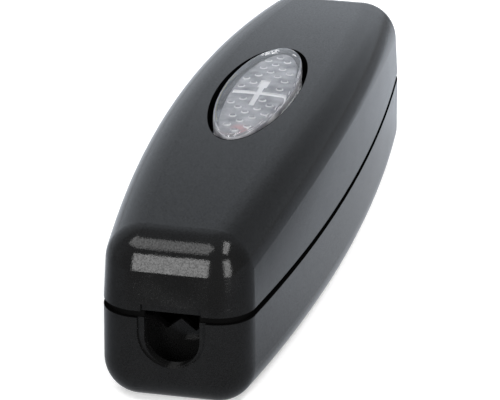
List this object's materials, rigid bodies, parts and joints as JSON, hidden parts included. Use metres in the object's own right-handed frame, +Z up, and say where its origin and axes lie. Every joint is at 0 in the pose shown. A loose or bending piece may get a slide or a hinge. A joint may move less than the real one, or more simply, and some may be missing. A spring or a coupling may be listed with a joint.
{
  "type": "inline cord dimmer",
  "caption": "Barrel-shaped black inline cord dimmer with an arched cover, a clear oval push button and a round-bottomed cord entry in each end.",
  "frame": {"origin": "under the middle of the housing, on the plane of its flat base", "axes": "+X along the cord towards the lamp, +Y across the housing, +Z up through the button"},
  "size_m": [0.104, 0.0282, 0.0297],
  "materials": {
    "housing_plastic": "fine moulded grain, satin black",
    "clear_plastic": "clear, polished above and frosted below",
    "switch_plastic": "black moulding",
    "plunger_plastic": "white moulding",
    "plate_steel": "pressed sheet",
    "board_laminate": "green solder mask",
    "lamp_plastic": "red tinted",
    "spacer_plastic": "white moulding",
    "terminal_plastic": "grey moulding",
    "terminal_brass": "bright",
    "screw_steel": "zinc plated",
    "clamp_plastic": "black moulding",
    "core_ferrite": "pressed and fired",
    "winding_copper": "enamelled copper",
    "epoxy_black": "moulded epoxy",
    "film_box": "yellow box",
    "can_aluminium": "drawn can",
    "fuse_plastic": "brown moulding",
    "resistor_coat": "beige lacquer"
  },
  "bodies": {
    "housing": {"upper_housing": "housing_plastic", "lower_housing": "housing_plastic", "switch_base": "switch_plastic", "switch_plate": "plate_steel", "circuit_board": "board_laminate", "indicator_led": "lamp_plastic", "led_spacer": "spacer_plastic", "terminal_block_mains": "terminal_plastic", "terminal_block_lamp": "terminal_plastic", "terminal_clamps": "terminal_brass", "terminal_screws": "screw_steel", "cord_clamp_mains": "clamp_plastic", "cord_clamp_lamp": "clamp_plastic", "cord_clamp_screws": "screw_steel", "housing_screws": "screw_steel", "choke_core": "core_ferrite", "choke_winding": "winding_copper", "triac": "epoxy_black", "film_capacitor": "film_box", "electrolytic_capacitor": "can_aluminium", "fuse": "fuse_plastic", "controller_chip": "epoxy_black", "resistor": "resistor_coat"},
    "button": {"push_button": "clear_plastic", "switch_plunger": "plunger_plastic"}
  },
  "joints": [
    {"name": "button_press", "type": "slide", "parent": "housing", "child": "button", "axis": [0, 0, -1], "range_m": [0, 0.0008], "stiffness_N_per_m": 2500, "springref_m": -0.0003}
  ]
}
